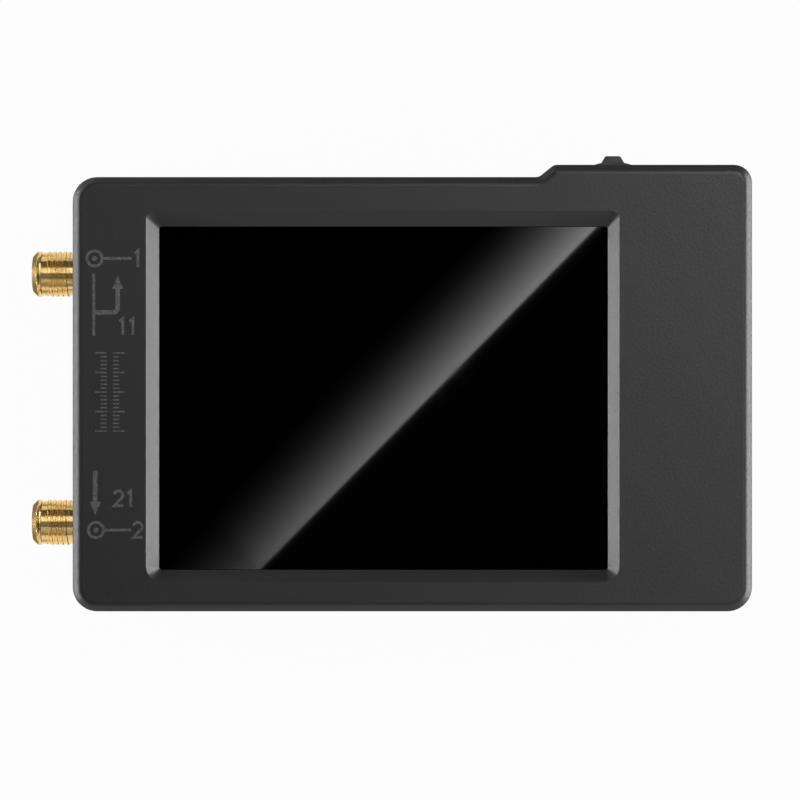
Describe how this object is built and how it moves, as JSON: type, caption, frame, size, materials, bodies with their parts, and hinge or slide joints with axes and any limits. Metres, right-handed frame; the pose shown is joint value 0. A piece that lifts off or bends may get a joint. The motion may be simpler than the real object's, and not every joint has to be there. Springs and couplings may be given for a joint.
{
  "type": "antenna analyzer",
  "caption": "Flat hand-held antenna analyzer: charcoal case with a bevelled touch display, two gold coaxial ports on the left, a jog lever on top and a slide switch and socket on the right.",
  "frame": {"origin": "centre of the case's flat back face", "axes": "+Z out of the screen, +X to the reader's right (the ports point along -X), +Y to the screen's top"},
  "size_m": [0.1001, 0.0633, 0.018],
  "materials": {
    "case_plastic": "fine matt moulded charcoal ABS",
    "screw_steel": "blackened steel",
    "insert_brass": "knurled brass",
    "touch_glass": "black glossy touch panel",
    "white_foam": "adhesive foam tape",
    "lcd_glass": "dark display glass",
    "white_plastic": "natural white plastic",
    "sheet_steel": "plated sheet steel",
    "black_foam": "closed-cell foam",
    "ribbon_film": "polyimide film",
    "board_laminate": "solder-masked laminate",
    "chip_resin": "moulded resin",
    "tinned_metal": "tinned",
    "ferrite": "sintered ferrite",
    "ceramic": "fired ceramic",
    "led_resin": "clear resin",
    "clear_acrylic": "clear acrylic",
    "gold_plate": "gold plated brass",
    "ptfe": "white fluoropolymer",
    "black_resin": "black glass-filled resin",
    "phenolic": "phenolic sheet",
    "pouch_film": "laminated foil pouch",
    "red_wire": "red insulation",
    "black_wire": "black insulation"
  },
  "bodies": {
    "case": {"front_cover": "case_plastic", "back_cover": "case_plastic", "case_screws": "screw_steel", "thread_inserts": "insert_brass", "touch_panel": "touch_glass", "touch_adhesive": "white_foam", "display_glass": "lcd_glass", "light_guide": "white_plastic", "display_tray": "sheet_steel", "display_gasket": "black_foam", "display_pads": "black_foam", "display_ribbon": "ribbon_film", "ribbon_connector": "white_plastic", "main_board": "board_laminate", "upper_shield": "sheet_steel", "lower_shield": "sheet_steel", "processor": "chip_resin", "processor_pins": "tinned_metal", "radio_chips": "chip_resin", "crystals": "tinned_metal", "inductors": "ferrite", "capacitors": "ceramic", "charger_chip": "chip_resin", "status_led": "led_resin", "light_pipe": "clear_acrylic", "upper_port_body": "gold_plate", "upper_port_insulator": "ptfe", "upper_port_contact": "gold_plate", "lower_port_body": "gold_plate", "lower_port_insulator": "ptfe", "lower_port_contact": "gold_plate", "usb_shell": "sheet_steel", "usb_insert": "black_resin", "usb_contacts": "gold_plate", "power_switch_housing": "sheet_steel", "power_switch_base": "phenolic", "power_switch_terminals": "tinned_metal", "jog_base": "black_resin", "jog_cover": "sheet_steel", "jog_terminals": "tinned_metal", "jog_spring": "sheet_steel", "battery_cell": "pouch_film", "battery_tape": "white_foam", "battery_board": "board_laminate", "battery_lead_red": "red_wire", "battery_lead_black": "black_wire", "battery_plug": "white_plastic", "battery_socket": "white_plastic"},
    "power_slider": {"power_switch_slider": "black_resin"},
    "jog_carriage": {"jog_carriage": "white_plastic"},
    "jog_lever": {"jog_lever": "black_resin"}
  },
  "joints": [
    {"name": "power_slide", "type": "slide", "parent": "case", "child": "power_slider", "axis": [0, 1, 0], "range_m": [0, 0.002]},
    {"name": "jog_push", "type": "slide", "parent": "case", "child": "jog_carriage", "axis": [0, -1, 0], "range_m": [0, 0.0005], "stiffness_N_per_m": 800, "springref_m": -0.0004},
    {"name": "jog_tilt", "type": "hinge", "parent": "jog_carriage", "child": "jog_lever", "pos_m": [0.028, 0.02622, 0.0116], "axis": [0, 0, 1], "range_deg": [-13, 13], "stiffness_Nm_per_rad": 0.01}
  ]
}
